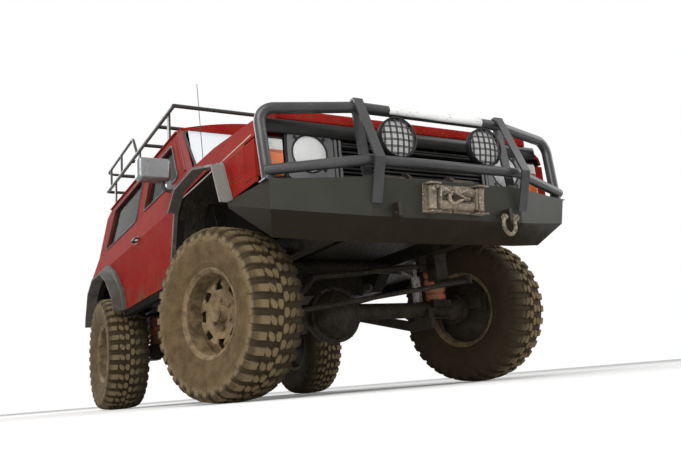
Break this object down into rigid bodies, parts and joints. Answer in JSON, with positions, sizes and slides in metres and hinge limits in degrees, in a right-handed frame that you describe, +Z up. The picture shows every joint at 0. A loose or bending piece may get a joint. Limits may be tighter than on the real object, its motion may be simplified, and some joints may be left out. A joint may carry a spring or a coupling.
{
  "type": "lifted off-road wagon",
  "caption": "Short lifted off-road wagon with bull bar, winch, roof rack and spare wheel; wheels, steering, doors and hood move.",
  "frame": {"origin": "on the ground, under the middle of the whole length and width", "axes": "+X forward along the car, +Y to its left, +Z up"},
  "size_m": [4.5652, 2.128, 2.188],
  "materials": {
    "red_paint": "faded semi gloss paint",
    "grey_steel": "worn satin paint with dried mud",
    "black_steel": "satin black",
    "cast_block": "rough cast",
    "spring_orange": "dusty orange paint",
    "shock_grey": "light grey paint",
    "wheel_steel": "mud coated steel",
    "tyre_rubber": "mud coated tread rubber",
    "flare_rubber": "matt",
    "roller_steel": "muddy",
    "lamp_lens": "clear ribbed lens",
    "signal_lens": "amber and clear lens",
    "glazing": "clear glass",
    "mirror_shell": "silver grey",
    "cabin_plastic": "matt black",
    "seat_fabric": "woven"
  },
  "bodies": {
    "vehicle": {"body_sides": "red_paint", "rear_quarters": "red_paint", "cowl": "red_paint", "front_fenders": "red_paint", "roof": "red_paint", "bull_bar": "grey_steel", "bumper": "grey_steel", "rear_bumper": "grey_steel", "winch": "grey_steel", "roof_rack": "black_steel", "frame": "black_steel", "floor": "black_steel", "front_axle": "black_steel", "rear_axle": "black_steel", "links": "black_steel", "prop_shafts": "black_steel", "fuel_tank": "black_steel", "radiator": "black_steel", "grille": "black_steel", "arch_liners": "black_steel", "powertrain": "cast_block", "exhaust": "cast_block", "springs": "spring_orange", "shocks": "shock_grey", "arch_flares": "flare_rubber", "fairlead": "roller_steel", "headlights": "lamp_lens", "spotlights": "lamp_lens", "signal_lamps": "signal_lens", "fixed_glass": "glazing", "dashboard": "cabin_plastic", "steering_wheel": "cabin_plastic", "seats": "seat_fabric"},
    "door_right": {"door_right": "red_paint", "door_glass_right": "glazing", "mirror_right": "mirror_shell"},
    "door_left": {"door_left": "red_paint", "door_glass_left": "glazing", "mirror_left": "mirror_shell"},
    "rear_door_large": {"rear_door_large": "red_paint", "rear_glass_large": "glazing", "rim_spare": "wheel_steel", "tyre_spare": "tyre_rubber"},
    "rear_door_small": {"rear_door_small": "red_paint", "rear_glass_small": "glazing"},
    "hood": {"hood": "red_paint"},
    "knuckle_right": {"knuckle_right": "black_steel"},
    "knuckle_left": {"knuckle_left": "black_steel"},
    "tie_rod": {"tie_rod": "black_steel"},
    "pitman_arm": {"pitman_arm": "black_steel"},
    "drag_link": {"drag_link": "black_steel"},
    "wheel_fr": {"rim_fr": "wheel_steel", "tyre_fr": "tyre_rubber"},
    "wheel_fl": {"rim_fl": "wheel_steel", "tyre_fl": "tyre_rubber"},
    "wheel_rr": {"rim_rr": "wheel_steel", "tyre_rr": "tyre_rubber"},
    "wheel_rl": {"rim_rl": "wheel_steel", "tyre_rl": "tyre_rubber"}
  },
  "joints": [
    {"name": "steer_right", "type": "hinge", "parent": "vehicle", "child": "knuckle_right", "pos_m": [1.321, -0.625, 0.425], "axis": [0, 0, 1], "range_deg": [-50, 16]},
    {"name": "steer_left", "type": "hinge", "parent": "vehicle", "child": "knuckle_left", "pos_m": [1.321, 0.625, 0.425], "axis": [0, 0, 1], "range_deg": [-50, 16]},
    {"name": "tie_rod_pivot", "type": "hinge", "parent": "knuckle_right", "child": "tie_rod", "pos_m": [1.15843, -0.6747, 0.4713], "axis": [0, 0, 1], "range_deg": [-16, 50]},
    {"name": "pitman_turn", "type": "hinge", "parent": "vehicle", "child": "pitman_arm", "pos_m": [1.451, 0.44, 0.568], "axis": [0, 0, 1], "range_deg": [-50, 16]},
    {"name": "drag_link_pivot", "type": "hinge", "parent": "pitman_arm", "child": "drag_link", "pos_m": [1.64226, 0.49847, 0.5447], "axis": [0, 0, 1], "range_deg": [-16, 50]},
    {"name": "spin_fr", "type": "hinge", "parent": "knuckle_right", "child": "wheel_fr", "pos_m": [1.3757, -0.8038, 0.425], "axis": [0.2924, -0.9563, 0], "continuous": true},
    {"name": "spin_fl", "type": "hinge", "parent": "knuckle_left", "child": "wheel_fl", "pos_m": [1.2663, 0.8038, 0.425], "axis": [-0.2924, 0.9563, 0], "continuous": true},
    {"name": "spin_rr", "type": "hinge", "parent": "vehicle", "child": "wheel_rr", "pos_m": [-1.079, -0.812, 0.425], "axis": [0, 1, 0], "continuous": true},
    {"name": "spin_rl", "type": "hinge", "parent": "vehicle", "child": "wheel_rl", "pos_m": [-1.079, 0.812, 0.425], "axis": [0, 1, 0], "continuous": true},
    {"name": "hood_hinge", "type": "hinge", "parent": "vehicle", "child": "hood", "pos_m": [0.914, 0, 1.3355], "axis": [0, -1, 0], "range_deg": [0, 50]},
    {"name": "door_right_hinge", "type": "hinge", "parent": "vehicle", "child": "door_right", "pos_m": [0.721, -0.866, 1.1], "axis": [0, 0, 1], "range_deg": [0, 65]},
    {"name": "door_left_hinge", "type": "hinge", "parent": "vehicle", "child": "door_left", "pos_m": [0.721, 0.866, 1.1], "axis": [0, 0, -1], "range_deg": [0, 65]},
    {"name": "rear_door_large_hinge", "type": "hinge", "parent": "vehicle", "child": "rear_door_large", "pos_m": [-1.927, -0.812, 1.1], "axis": [0, 0, 1], "range_deg": [0, 90]},
    {"name": "rear_door_small_hinge", "type": "hinge", "parent": "vehicle", "child": "rear_door_small", "pos_m": [-1.927, 0.812, 1.1], "axis": [0, 0, -1], "range_deg": [0, 90]}
  ],
  "couplings": [
    {"joint": "steer_left", "follows": "steer_right", "ratio": 1},
    {"joint": "tie_rod_pivot", "follows": "steer_right", "ratio": -1},
    {"joint": "pitman_turn", "follows": "steer_right", "ratio": 1},
    {"joint": "drag_link_pivot", "follows": "steer_right", "ratio": -1}
  ]
}
